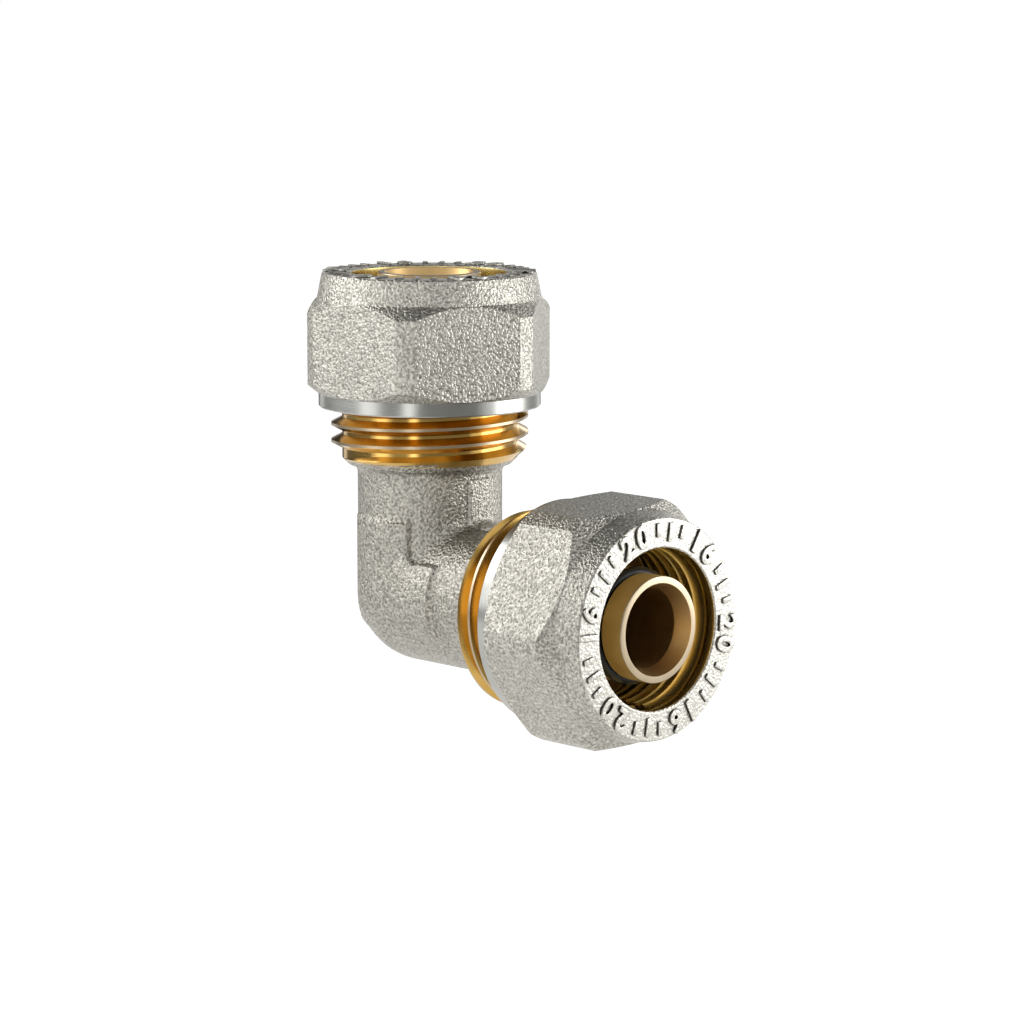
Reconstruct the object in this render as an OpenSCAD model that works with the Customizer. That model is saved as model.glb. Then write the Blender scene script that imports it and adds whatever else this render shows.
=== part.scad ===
// Compression elbow for 16 mm multilayer pipe.
// A forged brass body turns the waterway through a right angle. Each arm ends in a thread, a nipple with
// two O-rings, an insulating washer and a split ring, and a hexagon nut squeezes the ring onto the pipe.
// +Z is the axis of the upright arm and +X the axis of the side arm. The origin is where the axes cross.
// Every piece is drawn on the upright arm, and the side arm's own pieces are turned over onto it.

/* [Pipe] */
// Outer diameter of the pipe that each arm takes
pipe_d = 16; // [15.8:0.1:16.2]
// Wall thickness of that pipe
pipe_wall = 2; // [1.9:0.05:2.1]

/* [Thread] */
// Outer diameter of the pipe thread on each arm
thread_d = 20.955; // [20.8:0.005:21.1]
// Distance from crest to crest
thread_pitch = 1.814; // [1.7:0.002:1.9]
// Depth of the thread
thread_depth = 1.162; // [1.0:0.002:1.2]
// Turns of the thread on each arm
thread_turns = 5.1; // [3:0.1:5.1]

/* [Body] */
// From the crossing of the axes to the outer face of either nut
reach = 34; // [33.8:0.1:35]
// Diameter of the plain arms and of the round heel
arm_d = 15.4; // [15:0.1:16]
// Diameter of the waterway
bore_d = 8.3; // [8:0.1:8.6]
// How far the full width of each drill runs past the crossing
drill_past = 2.6; // [2.4:0.1:2.8]
// Angle of the drill's point
drill_point = 118; // [110:1:130]
// Where the threaded barrel starts
barrel_start = 13.7; // [13.4:0.1:14]
// Where the threaded barrel ends
barrel_end = 24.2; // [24:0.1:24.6]
// Where the pipe stops inside the arm
pipe_stop = 19.5; // [19:0.1:20]
// How far the raised panel stands out of the cheek
panel_h = 0.3; // [0.2:0.05:0.5]
// How far the panel runs along each arm from the crossing
panel_reach = 8.2; // [7:0.1:9]
// How far the panel's two legs reach into the inner corner
panel_inner = 4; // [3.6:0.1:5]
// How far the panel reaches down towards the heel
panel_outer = 4.2; // [4:0.1:5.4]
// How far the panel reaches back behind the upright arm's axis
panel_back = 5.4; // [4:0.1:5.6]
// Width of the trimmed parting line in the inner corner
parting_w = 2.8; // [2:0.1:4]
// Length of arm that the parting line shows on
parting_end = 12.7; // [11:0.1:13]

/* [Nut] */
// Width across the hexagon's flats
hex_af = 24; // [23.6:0.1:24.6]
// Diameter that the hexagon's corners are turned down to
corner_d = 26.6; // [26:0.1:27]
// Length of the nut
nut_l = 14.2; // [14:0.1:14.4]
// Length of the plain turned ring at the rear
rear_ring_l = 1.5; // [1:0.1:2]
// Length of the cone at the front
collar_l = 2.7; // [2:0.1:3]
// Diameter of the hole that the pipe goes through
mouth_d = 16.6; // [16.5:0.1:17]
// Angle from the side arm to a corner of the upright nut, seen from above
upright_nut_angle = 7; // [0:1:60]
// Angle from straight down to a corner of the side nut, seen into its mouth
side_nut_angle = 34; // [0:1:60]

/* [Split ring] */
// Outer diameter of the split ring
ring_d = 18.5; // [18.3:0.1:18.6]
// Length of the split ring
ring_l = 6.8; // [6:0.1:7]
// Width of the slit
slit_w = 1.3; // [0.8:0.1:2]
// Distance from the nut's outer face to the ring
ring_setback = 1.6; // [1.5:0.1:1.8]

/* [Nipple] */
// Diameter of the nipple's nose
nose_d = 10.9; // [10.7:0.1:11.1]
// Length of the nose
nose_l = 2.7; // [2.5:0.1:3]
// Depth of the cone inside the nose
nose_cone_l = 1.8; // [1.2:0.1:2.4]
// Width of the flat end ring
end_ring_w = 0.7; // [0.5:0.05:0.8]
// Diameter of the section of an O-ring
o_ring_w = 1.28; // [1.2:0.02:1.3]

/* [Hidden] */
$fn = 96;
arm_r = arm_d / 2;
bore_r = bore_d / 2;
point_l = bore_r / tan(drill_point / 2);
crest_r = thread_d / 2;
root_r = crest_r - thread_depth;
inside_r = pipe_d / 2 - pipe_wall;
neck_fillet = 1;
foot_top = barrel_start + root_r - arm_r - neck_fillet;

// Thread form: flanks at 27.5 degrees and a narrow flat on the crest
crest_half = 0.15;
ridge_base_r = root_r - 0.06;
ridge_half = crest_half + (crest_r - ridge_base_r) * tan(27.5);
thread_start = barrel_start + 0.65;
thread_steps = 32;
run_out = 0.12;
upright_thread_angle = -120;
side_thread_angle = 60;

// Nipple: a land that the pipe slides over, with two grooves in it
land_r = inside_r - 0.15;
nose_r = nose_d / 2;
o_ring_outer_r = inside_r + 0.05;
groove_r = o_ring_outer_r - o_ring_w - 0.02;
groove_w = o_ring_w + 0.32;
groove_pitch = 3.8;
front_groove = reach - nose_l - groove_w;
rear_groove = front_groove - groove_pitch;

// Socket round the nipple, its washer and the cone that the split ring is pressed into
socket_r = pipe_d / 2 + 0.15;
washer_t = 1;
washer_gap = 0.05;
shoulder_r = inside_r + 0.15;
seat_r = 9;
seat_l = 1.5;

// Nut
rear = reach - nut_l;
hex_r = hex_af / 2 / cos(30);
corner_r = corner_d / 2;
thread_gap = 0.07;
nut_bore_r = crest_r + thread_gap;
nut_room_r = ring_d / 2 + 0.2;
mouth_r = mouth_d / 2;
lip = ring_setback - 0.1;
rear_ring_r = 11.8;
collar_base_r = 11.9;
collar_top_r = 11.4;
rear_chamfer_l = 1.1;
front_chamfer_l = 1.35;
edge = 0.3;
soft_edge = 0.15;

// Split ring
ring_front = reach - ring_setback;
ring_rear = ring_front - ring_l;
ring_r = ring_d / 2;
tooth_r = pipe_d / 2 + 0.1;
tooth_h = 0.4;
tooth_pitch = 1.25;
tooth_land = 0.15;
teeth = floor((ring_l - 0.4) / tooth_pitch);

far = 60;

// Turns a piece drawn on the upright arm over onto the side arm
module on_side_arm() {
    rotate([0, 90, 0]) children();
}

// Everything on the upright arm's side of the mitre between the arms
module upright_half() {
    intersection() {
        children();
        rotate([0, -45, 0]) translate([-far / 2, -far / 2, 0]) cube(far);
    }
}

// A shape and its twin across the mitre
module both_arms() {
    upright_half() children();
    mirror([1, 0, -1]) upright_half() children();
}

// Half section of a round-ended rod, whose round end is the elbow's heel
module rod_section(r, top) {
    square([r, top]);
    intersection() {
        circle(r);
        translate([0, -r]) square(r);
    }
}

// Half section of the fillet where the arm swells out to the barrel
module neck_section() {
    difference() {
        translate([arm_r - 0.1, barrel_start - neck_fillet])
            square([neck_fillet + 0.1, neck_fillet]);
        translate([arm_r + neck_fillet, barrel_start - neck_fillet]) circle(neck_fillet);
    }
}

// Size of the ridge's section at a turn of the thread: full, and running out at both ends
function ridge_size(turn) = max(0.045, min(1, turn / run_out, (thread_turns - turn) / run_out));

// A point of the ridge, held just inside the cone that the chamfer at the barrel's foot lies on
function ridge_point(angle, r, z) =
    let (held = min(r, root_r + z - foot_top - 0.02))
    [held * cos(angle), held * sin(angle), z];

// The ridge's section at one step: two points on its base and two on its crest
function ridge_section(i) =
    let (turn = i / thread_steps, angle = 360 * turn, size = ridge_size(turn),
         z = thread_start + turn * thread_pitch,
         tip = ridge_base_r + (crest_r - ridge_base_r) * size)
    [ridge_point(angle, ridge_base_r, z - size * ridge_half), ridge_point(angle, tip, z - size * crest_half),
     ridge_point(angle, tip, z + size * crest_half), ridge_point(angle, ridge_base_r, z + size * ridge_half)];

// The thread of one arm: a right-hand ridge wound round the barrel, sunk a little into it
module thread_ridge() {
    steps = ceil(thread_turns * thread_steps);
    polyhedron(
        points = [for (i = [0 : steps]) for (p = ridge_section(min(i, thread_turns * thread_steps))) p],
        faces = concat(
            [[2, 1, 0], [3, 2, 0], [4 * steps, 4 * steps + 1, 4 * steps + 2], [4 * steps, 4 * steps + 2, 4 * steps + 3]],
            [for (i = [0 : steps - 1]) for (k = [0 : 3])
                for (half = [0, 1])
                    let (a = 4 * i + k, b = 4 * i + (k + 1) % 4, c = a + 4, d = b + 4)
                    half == 0 ? [a, b, c] : [b, d, c]]
        )
    );
}

// Half section of the threaded barrel, the socket in its end and the nipple that stands in the socket
function barrel_outline() = concat(
    [[0, 0], [arm_r, 0], [arm_r, barrel_start],
     [arm_r + neck_fillet, barrel_start], [root_r, foot_top],
     [root_r, barrel_end - edge], [root_r - edge / 2, barrel_end],
     [seat_r, barrel_end], [socket_r, barrel_end - seat_l],
     [socket_r, pipe_stop - washer_t], [shoulder_r, pipe_stop - washer_t],
     [shoulder_r, pipe_stop], [land_r, pipe_stop]],
    groove(rear_groove, land_r),
    groove(front_groove, nose_r),
    [[nose_r, reach - edge], [nose_r - edge, reach], [0, reach]]
);

// A groove for an O-ring, cut from the land, with a front wall that may be lower
function groove(z, front_r) = [
    [land_r, z], [groove_r, z], [groove_r, z + groove_w], [front_r, z + groove_w]
];

// The hole that a drill leaves: the cone of its point, its full width, and the cone in the nose
module waterway() {
    mouth_r = nose_r - end_ring_w;
    rotate_extrude() polygon([
        [0, -drill_past - point_l], [bore_r, -drill_past], [bore_r, reach - nose_cone_l],
        [mouth_r, reach], [mouth_r, reach + 1], [0, reach + 1]
    ]);
}

// The raised field on the cheek: a slightly fatter elbow, seen through an L-shaped window
module cheek_panel() {
    window = [
        [-panel_back, -panel_outer], [panel_reach, -panel_outer], [panel_reach, panel_inner],
        [panel_inner, panel_inner], [panel_inner, panel_reach], [-panel_back, panel_reach]
    ];
    intersection() {
        both_arms() rotate_extrude() rod_section(arm_r + panel_h, panel_reach + 2);
        translate([0, -parting_w / 2 - 0.2, 0]) rotate([90, 0, 0])
            linear_extrude(height = arm_d) polygon(window);
    }
}

// The flat left where the forging's flash was trimmed in the inner corner
module parting_flat() {
    translate([arm_r - 0.6, -parting_w / 2, 0])
        cube([0.8, parting_w, parting_end]);
}

module elbow_body() {
    color("silver") difference() {
        union() {
            both_arms() union() {
                rotate_extrude() union() {
                    rod_section(arm_r, 1);
                    polygon(barrel_outline());
                    neck_section();
                }
                parting_flat();
            }
            rotate([0, 0, upright_thread_angle]) thread_ridge();
            on_side_arm() rotate([0, 0, side_thread_angle]) thread_ridge();
            cheek_panel();
        }
        waterway();
        on_side_arm() waterway();
    }
}

// Half section of the nut's blank, before its six flats are cut
function nut_outline() = [
    [nut_bore_r + 0.4, rear], [rear_ring_r - soft_edge, rear], [rear_ring_r, rear + soft_edge],
    [rear_ring_r, rear + rear_ring_l], [collar_base_r, rear + rear_ring_l],
    [corner_r, rear + rear_ring_l + rear_chamfer_l],
    [corner_r, reach - collar_l - front_chamfer_l], [collar_base_r, reach - collar_l],
    [collar_top_r, reach - soft_edge], [collar_top_r - soft_edge, reach],
    [mouth_r + soft_edge, reach], [mouth_r, reach - soft_edge], [mouth_r, reach - lip + 0.5],
    [nut_room_r, reach - lip], [nut_room_r, barrel_end + 4], [nut_bore_r, barrel_end + 3],
    [nut_bore_r, rear + 0.4]
];

module nut(angle) {
    color("silver") rotate([0, 0, angle]) intersection() {
        rotate_extrude() polygon(nut_outline());
        translate([0, 0, rear - 1]) cylinder(r = hex_r, h = nut_l + 2, $fn = 6);
    }
}

// Half section of the split ring, with the teeth that bite the pipe
function ring_outline() = concat(
    [[tooth_r + tooth_h, ring_rear], [seat_r - 0.45, ring_rear], [ring_r, ring_rear + seat_l],
     [ring_r, ring_front - 0.4], [ring_r - 0.4, ring_front], [tooth_r + tooth_h, ring_front]],
    [for (i = [1 : teeth]) for (p = tooth(ring_front - 0.1 - i * tooth_pitch)) p]
);

// One tooth, as points down the ring: a ramp that lets the pipe in and a step that holds it
function tooth(z) = [
    [tooth_r + tooth_h, z + tooth_pitch - tooth_land], [tooth_r, z + tooth_land],
    [tooth_r, z], [tooth_r + tooth_h, z]
];

module split_ring() {
    color("goldenrod") difference() {
        rotate_extrude() polygon(ring_outline());
        translate([0, -slit_w / 2, ring_rear - 1]) cube([ring_d, slit_w, ring_l + 2]);
    }
}

module o_ring(groove_z) {
    color("black") translate([0, 0, groove_z + groove_w / 2]) rotate_extrude()
        translate([o_ring_outer_r - o_ring_w / 2, 0]) circle(d = o_ring_w);
}

module insulating_washer() {
    color("white") rotate_extrude()
        translate([shoulder_r + washer_gap, pipe_stop - washer_t + washer_gap])
            square([socket_r - shoulder_r - 2 * washer_gap, washer_t - washer_gap]);
}

elbow_body();
nut(upright_nut_angle);  // upright_nut
on_side_arm() nut(side_nut_angle);  // side_nut
rotate([0, 0, 180]) split_ring();  // upright_split_ring
on_side_arm() split_ring();  // side_split_ring
o_ring(front_groove);  // upright_front_o_ring
o_ring(rear_groove);  // upright_rear_o_ring
on_side_arm() o_ring(front_groove);  // side_front_o_ring
on_side_arm() o_ring(rear_groove);  // side_rear_o_ring
insulating_washer();  // upright_insulating_washer
on_side_arm() insulating_washer();  // side_insulating_washer
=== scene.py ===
# %% [markdown]
# # A compression elbow in nickel-plated brass
# The solids of the fitting come in as a fixed frame: a forged body, two hexagon nuts, two split rings,
# four O-rings and two washers. Each one is modelled again here as a finer mesh in the same place, and
# gets the finish of the real thing. All sizes below are in millimetres and MM turns them into metres.

# %% Load the frame
import math

import bmesh
import bpy
from mathutils import Matrix, Vector


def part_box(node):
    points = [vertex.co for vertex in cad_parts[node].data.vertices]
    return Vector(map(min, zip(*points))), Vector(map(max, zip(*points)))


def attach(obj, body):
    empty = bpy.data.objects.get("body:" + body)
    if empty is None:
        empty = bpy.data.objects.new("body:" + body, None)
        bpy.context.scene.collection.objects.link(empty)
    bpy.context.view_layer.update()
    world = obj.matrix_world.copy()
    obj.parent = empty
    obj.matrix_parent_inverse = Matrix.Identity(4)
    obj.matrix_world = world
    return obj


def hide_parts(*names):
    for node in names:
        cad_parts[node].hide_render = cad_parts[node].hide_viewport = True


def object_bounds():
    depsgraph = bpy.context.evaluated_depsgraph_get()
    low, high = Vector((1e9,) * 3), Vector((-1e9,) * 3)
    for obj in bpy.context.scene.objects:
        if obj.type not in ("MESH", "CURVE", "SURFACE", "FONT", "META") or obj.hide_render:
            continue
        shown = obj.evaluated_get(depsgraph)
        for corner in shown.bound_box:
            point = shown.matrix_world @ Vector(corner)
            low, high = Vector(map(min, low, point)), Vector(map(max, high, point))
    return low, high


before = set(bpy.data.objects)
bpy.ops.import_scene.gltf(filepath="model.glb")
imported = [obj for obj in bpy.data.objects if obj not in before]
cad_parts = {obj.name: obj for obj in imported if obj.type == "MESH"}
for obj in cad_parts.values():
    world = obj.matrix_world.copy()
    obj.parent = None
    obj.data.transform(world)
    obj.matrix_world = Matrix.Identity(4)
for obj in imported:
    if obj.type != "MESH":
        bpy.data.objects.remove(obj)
cad_box = [list(corner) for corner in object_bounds()]
MM = 0.001
print("CAD box", cad_box)

# %% [markdown]
# ## Camera
# A product photo of a small part is taken with a long lens from some way off, here about 0.4 m, so that
# the nearer nut looks hardly larger than the farther one. The camera looks down a little, on the quarter
# between the side arm and the cheek.

# %% Place the camera
CAMERA_AZIMUTH = math.radians(46.33)
CAMERA_ELEVATION = math.radians(8.6)
CAMERA_DISTANCE = 386.7 * MM
LENS = 130.4
LOOK_AT = Vector((12.57, 0.08, 9.63)) * MM
to_camera = Vector((
    math.sin(CAMERA_AZIMUTH) * math.cos(CAMERA_ELEVATION),
    -math.cos(CAMERA_AZIMUTH) * math.cos(CAMERA_ELEVATION),
    math.sin(CAMERA_ELEVATION),
))
camera = bpy.data.objects.new("camera", bpy.data.cameras.new("camera"))
camera.data.lens = LENS
camera.data.sensor_width = 36
camera.data.clip_start = 0.01
camera.location = LOOK_AT + to_camera * CAMERA_DISTANCE
camera.rotation_euler = to_camera.to_track_quat("Z", "Y").to_euler()
bpy.context.scene.collection.objects.link(camera)
bpy.context.scene.camera = camera
print("camera at", [round(c, 4) for c in camera.location])

# %% [markdown]
# ## Light
# Metal shows what stands round it, so it is lit as it would be on a table, with six soft panels close to
# it: two low ones and a high one on the left, a narrow one beside the camera, one on the right and one
# behind it for the rim. A white room alone would leave it flat, so boards in several greys stand where
# a photographer has card: in front, behind, at the sides and above. The camera and the metal both see
# the white background. The panels and the boards hide from the camera, but not from the metal.

# %% White room
ROOM_GREY = 0.5
scene = bpy.context.scene
scene.view_settings.view_transform = "Standard"
world = bpy.data.worlds.new("room")
world.use_nodes = True
scene.world = world


def add_node(tree, kind, **inputs):
    """A node of that kind, with plain values set on its inputs; an underscore stands for a space."""
    node = tree.nodes.new(kind)
    for name, value in inputs.items():
        node.inputs[name.replace("_", " ")].default_value = value
    return node


def background_mask(tree):
    """1 for a ray from the camera, off metal or through glass, and 0 for light on its way to a matt thing."""
    path = tree.nodes.new("ShaderNodeLightPath")
    mask = path.outputs["Is Camera Ray"]
    for name in ("Is Glossy Ray", "Is Transmission Ray"):
        total = tree.nodes.new("ShaderNodeMath")
        total.operation = "ADD"
        total.use_clamp = True
        tree.links.new(mask, total.inputs[0])
        tree.links.new(path.outputs[name], total.inputs[1])
        mask = total.outputs[0]
    return mask


room = world.node_tree
room.nodes.clear()
room_light = add_node(room, "ShaderNodeBackground", Strength=ROOM_GREY)
room_white = add_node(room, "ShaderNodeBackground", Color=(1, 1, 1, 1), Strength=1.0)
room_mix = room.nodes.new("ShaderNodeMixShader")
room_out = room.nodes.new("ShaderNodeOutputWorld")
room.links.new(background_mask(room), room_mix.inputs["Fac"])
room.links.new(room_light.outputs[0], room_mix.inputs[1])
room.links.new(room_white.outputs[0], room_mix.inputs[2])
room.links.new(room_mix.outputs[0], room_out.inputs["Surface"])
print("room of grey", ROOM_GREY)

# %% Soft panels
FLOOR_Z = cad_box[0][2] - 0.02 * MM
PANEL_TOP = 0.085


def soft_panel(name, angle, distance, width, foot, radiance, top=PANEL_TOP):
    """A standing lamp that faces the fitting and looks equally bright all over."""
    height = top - foot
    lamp = bpy.data.lights.new(name, "AREA")
    lamp.shape = "RECTANGLE"
    lamp.size = width
    lamp.size_y = height
    lamp.energy = radiance * math.pi * width * height
    away = Vector((math.cos(math.radians(angle)), math.sin(math.radians(angle)), 0))
    panel = bpy.data.objects.new(name, lamp)
    panel.location = away * distance + Vector((0, 0, (top + foot) / 2))
    panel.rotation_euler = away.to_track_quat("Z", "Y").to_euler()
    panel.visible_camera = False
    scene.collection.objects.link(panel)


soft_panel("left_panel", -106, 0.130, 0.040, FLOOR_Z, 1.2)
soft_panel("far_left_panel", -139, 0.150, 0.085, 0.012, 1.25, top=0.070)
soft_panel("high_panel", -150, 0.150, 0.110, 0.070, 4.2, top=0.170)
soft_panel("front_strip", -63, 0.130, 0.018, FLOOR_Z, 1.9)
soft_panel("right_panel", 46, 0.130, 0.085, FLOOR_Z, 3.4)
soft_panel("rim_panel", 117, 0.260, 0.080, 0.028, 2.2)


# %% Grey boards
def matt_grey(name, grey):
    """A plain matt material."""
    material = bpy.data.materials.new(name)
    material.use_nodes = True
    shader = material.node_tree.nodes["Principled BSDF"]
    shader.inputs["Base Color"].default_value = (grey, grey, grey, 1)
    shader.inputs["Roughness"].default_value = 1.0
    shader.inputs["Specular IOR Level"].default_value = 0.0
    return material


def stage_object(name, bm, material):
    """A part of the studio, which is no part of the fitting."""
    mesh = bpy.data.meshes.new(name)
    bm.to_mesh(mesh)
    bm.free()
    mesh.materials.append(material)
    made = bpy.data.objects.new(name, mesh)
    scene.collection.objects.link(made)
    return made


def flat_sheet(half, middle):
    """A new bmesh: a level square, half its side long on each side of its middle."""
    bm = bmesh.new()
    bmesh.ops.create_grid(bm, x_segments=1, y_segments=1, size=half)
    bmesh.ops.translate(bm, verts=bm.verts, vec=middle)
    return bm


def curved_board(name, first, last, radius, low, high, grey):
    """A board bent round the fitting, from one angle to the other."""
    bm = bmesh.new()
    foot = bm.verts.new((radius, 0, low))
    head = bm.verts.new((radius, 0, high))
    edge = bm.edges.new((foot, head))
    bmesh.ops.rotate(
        bm, verts=bm.verts, cent=(0, 0, 0), matrix=Matrix.Rotation(math.radians(first), 3, "Z"))
    bmesh.ops.spin(
        bm, geom=[foot, head, edge], cent=(0, 0, 0), axis=(0, 0, 1), angle=math.radians(last - first),
        steps=24, use_merge=False)
    stage_object(name, bm, matt_grey(name, grey)).visible_camera = False


curved_board("front_board", -56, 10, 0.095, FLOOR_Z, 0.028, 0.50)
curved_board("gap_board", -92, -69, 0.150, FLOOR_Z, 0.030, 0.70)
curved_board("left_board", -180, -122, 0.125, FLOOR_Z, 0.008, 0.34)
curved_board("right_board", 72, 100, 0.150, FLOOR_Z, 0.050, 0.85)
curved_board("back_board", 100, 148, 0.300, 0.020, 0.150, 0.90)
curved_board("edge_board", 148, 190, 0.280, 0.008, 0.150, 0.12)
curved_board("low_board", 112, 168, 0.085, FLOOR_Z, 0.014, 0.15)
CEILING_HALF = 0.40
CEILING_MIDDLE = (-0.05, 0.05, 0.42)
ceiling_bm = flat_sheet(CEILING_HALF, CEILING_MIDDLE)
stage_object("ceiling_board", ceiling_bm, matt_grey("ceiling board", 0.80)).visible_camera = False

# %% [markdown]
# ## Floor
# The fitting lies on white paper that runs back out of sight. The paper is matt, so it keeps a faint
# shadow, and a little light of its own lifts it to white.

# %% Make the floor
FLOOR_SIZE = 3.0
FLOOR_LIFT = 0.92
PAPER = (0.45, 0.45, 0.45, 1)
paper = bpy.data.materials.new("paper")
paper.use_nodes = True
tree = paper.node_tree
tree.nodes.clear()
paper_diffuse = add_node(tree, "ShaderNodeBsdfDiffuse", Color=PAPER)
paper_glow = add_node(tree, "ShaderNodeEmission", Strength=FLOOR_LIFT)
paper_sum = tree.nodes.new("ShaderNodeAddShader")
paper_mix = tree.nodes.new("ShaderNodeMixShader")
paper_out = tree.nodes.new("ShaderNodeOutputMaterial")
tree.links.new(paper_diffuse.outputs[0], paper_sum.inputs[0])
tree.links.new(paper_glow.outputs[0], paper_sum.inputs[1])
tree.links.new(background_mask(tree), paper_mix.inputs["Fac"])
tree.links.new(paper_diffuse.outputs[0], paper_mix.inputs[1])
tree.links.new(paper_sum.outputs[0], paper_mix.inputs[2])
tree.links.new(paper_mix.outputs[0], paper_out.inputs["Surface"])
stage_object("floor", flat_sheet(FLOOR_SIZE, (0, 0, FLOOR_Z)), paper)
print("floor at", round(FLOOR_Z, 5))

# %% [markdown]
# ## Shared effects
# The same few effects return on every metal here, so each is a node group with named inputs. Blasting
# leaves a skin of tiny pits with worm-like ridges between them, darker in the pits. A lathe tool leaves
# fine lines round the axis. Handling leaves slow patches of a slightly other tone.


# %% Small helpers for node trees
def new_group(name, inputs, outputs):
    """An empty shader node group with named float or vector sockets."""
    group = bpy.data.node_groups.new(name, "ShaderNodeTree")
    for label, kind, value in inputs:
        socket = group.interface.new_socket(label, in_out="INPUT", socket_type=kind)
        if value is not None:
            socket.default_value = value
    for label, kind in outputs:
        group.interface.new_socket(label, in_out="OUTPUT", socket_type=kind)
    return group, group.nodes.new("NodeGroupInput"), group.nodes.new("NodeGroupOutput")


def place_group(tree, group, **inputs):
    """A shared effect placed in a material, with its own values."""
    node = tree.nodes.new("ShaderNodeGroup")
    node.node_tree = group
    for name, value in inputs.items():
        node.inputs[name.replace("_", " ")].default_value = value
    return node


def multiplied(tree, first, second):
    """The product of an output and of another one or a plain number."""
    product = tree.nodes.new("ShaderNodeMath")
    product.operation = "MULTIPLY"
    tree.links.new(first, product.inputs[0])
    if isinstance(second, float):
        product.inputs[1].default_value = second
    else:
        tree.links.new(second, product.inputs[1])
    return product.outputs[0]


# %% Blasted skin
def make_blasted_skin():
    """Worm-like ridges with pits between them: a height from 0 to 1, most of it used."""
    group, given, out = new_group(
        "blasted skin",
        [("Vector", "NodeSocketVector", None), ("Grain", "NodeSocketFloat", 2600.0)],
        [("Height", "NodeSocketFloat")],
    )
    ridges = add_node(group, "ShaderNodeTexNoise", Detail=1.0, Roughness=0.5)
    spread = add_node(group, "ShaderNodeMapRange", From_Min=0.28, From_Max=0.72)
    links = group.links
    links.new(given.outputs["Vector"], ridges.inputs["Vector"])
    links.new(given.outputs["Grain"], ridges.inputs["Scale"])
    links.new(ridges.outputs["Fac"], spread.inputs["Value"])
    links.new(spread.outputs["Result"], out.inputs["Height"])
    return group


blasted_skin = make_blasted_skin()


# %% Lathe lines
SLOW_CHANGE = 90.0
STREAK_SCALE = 420.0


def make_lathe_lines():
    """Fine lines round the Z axis of the vector that comes in, with slow changes along them."""
    group, given, out = new_group(
        "lathe lines",
        [("Vector", "NodeSocketVector", None), ("Lines", "NodeSocketFloat", 9000.0)],
        [("Height", "NodeSocketFloat"), ("Streak", "NodeSocketFloat")],
    )
    links = group.links
    vector, density = given.outputs["Vector"], given.outputs["Lines"]
    split = add_node(group, "ShaderNodeSeparateXYZ")
    flat = add_node(group, "ShaderNodeCombineXYZ")
    radius = add_node(group, "ShaderNodeVectorMath")
    radius.operation = "LENGTH"
    fine = add_node(group, "ShaderNodeCombineXYZ")
    lines = add_node(group, "ShaderNodeTexNoise", Scale=1.0, Detail=2.0, Roughness=0.6)
    streaks = add_node(group, "ShaderNodeTexNoise", Scale=STREAK_SCALE, Detail=2.0, Roughness=0.5)
    links.new(vector, split.inputs[0])
    links.new(split.outputs["X"], flat.inputs["X"])
    links.new(split.outputs["Y"], flat.inputs["Y"])
    links.new(flat.outputs[0], radius.inputs[0])
    links.new(multiplied(group, radius.outputs["Value"], density), fine.inputs["X"])
    links.new(multiplied(group, split.outputs["X"], SLOW_CHANGE), fine.inputs["Y"])
    links.new(multiplied(group, split.outputs["Z"], density), fine.inputs["Z"])
    links.new(fine.outputs[0], lines.inputs["Vector"])
    links.new(vector, streaks.inputs["Vector"])
    links.new(lines.outputs["Fac"], out.inputs["Height"])
    links.new(streaks.outputs["Fac"], out.inputs["Streak"])
    return group


lathe_lines = make_lathe_lines()


# %% Slow patches
def make_patches():
    """Slow patches of tone, as a value between the two that are asked for."""
    group, given, out = new_group(
        "patches",
        [("Vector", "NodeSocketVector", None), ("Size", "NodeSocketFloat", 180.0),
         ("Low", "NodeSocketFloat", 0.0), ("High", "NodeSocketFloat", 1.0)],
        [("Value", "NodeSocketFloat")],
    )
    cloud = add_node(group, "ShaderNodeTexNoise", Detail=3.0, Roughness=0.6)
    spread = add_node(group, "ShaderNodeMapRange", From_Min=0.3, From_Max=0.7)
    links = group.links
    links.new(given.outputs["Vector"], cloud.inputs["Vector"])
    links.new(given.outputs["Size"], cloud.inputs["Scale"])
    links.new(cloud.outputs["Fac"], spread.inputs["Value"])
    links.new(given.outputs["Low"], spread.inputs["To Min"])
    links.new(given.outputs["High"], spread.inputs["To Max"])
    links.new(spread.outputs["Result"], out.inputs["Value"])
    return group


patches = make_patches()
print("node groups", [g.name for g in bpy.data.node_groups])

# %% [markdown]
# ## Materials
# Nickel is a warm grey metal, less blue than chrome. Where it lies on a blasted forging it is matt and
# grainy, and where it lies on a turned ring it is smoother and shows lathe lines. The threads, the
# nipples and the rings are bare brass, which is deep yellow because yellow light is reflected twice
# between the flanks of the thread.


# %% Start a material
def new_material(name):
    """A material with a Principled shader, and its object coordinates."""
    material = bpy.data.materials.new(name)
    material.use_nodes = True
    tree = material.node_tree
    shader = tree.nodes["Principled BSDF"]
    place = tree.nodes.new("ShaderNodeTexCoord").outputs["Object"]
    return material, tree, shader, place


def along_arm(tree, place, side):
    """Object coordinates with Z along the arm: as they are on the upright arm, turned on the side arm."""
    if not side:
        return place
    turn = tree.nodes.new("ShaderNodeMapping")
    turn.inputs["Rotation"].default_value = (0, -math.pi / 2, 0)
    tree.links.new(place, turn.inputs["Vector"])
    return turn.outputs["Vector"]


def bump_from(tree, height, shader, depth):
    """Feeds a height to the shader's normal; depth is in metres."""
    bump = add_node(tree, "ShaderNodeBump", Strength=1.0, Distance=depth)
    tree.links.new(height, bump.inputs["Height"])
    tree.links.new(bump.outputs["Normal"], shader.inputs["Normal"])


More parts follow.
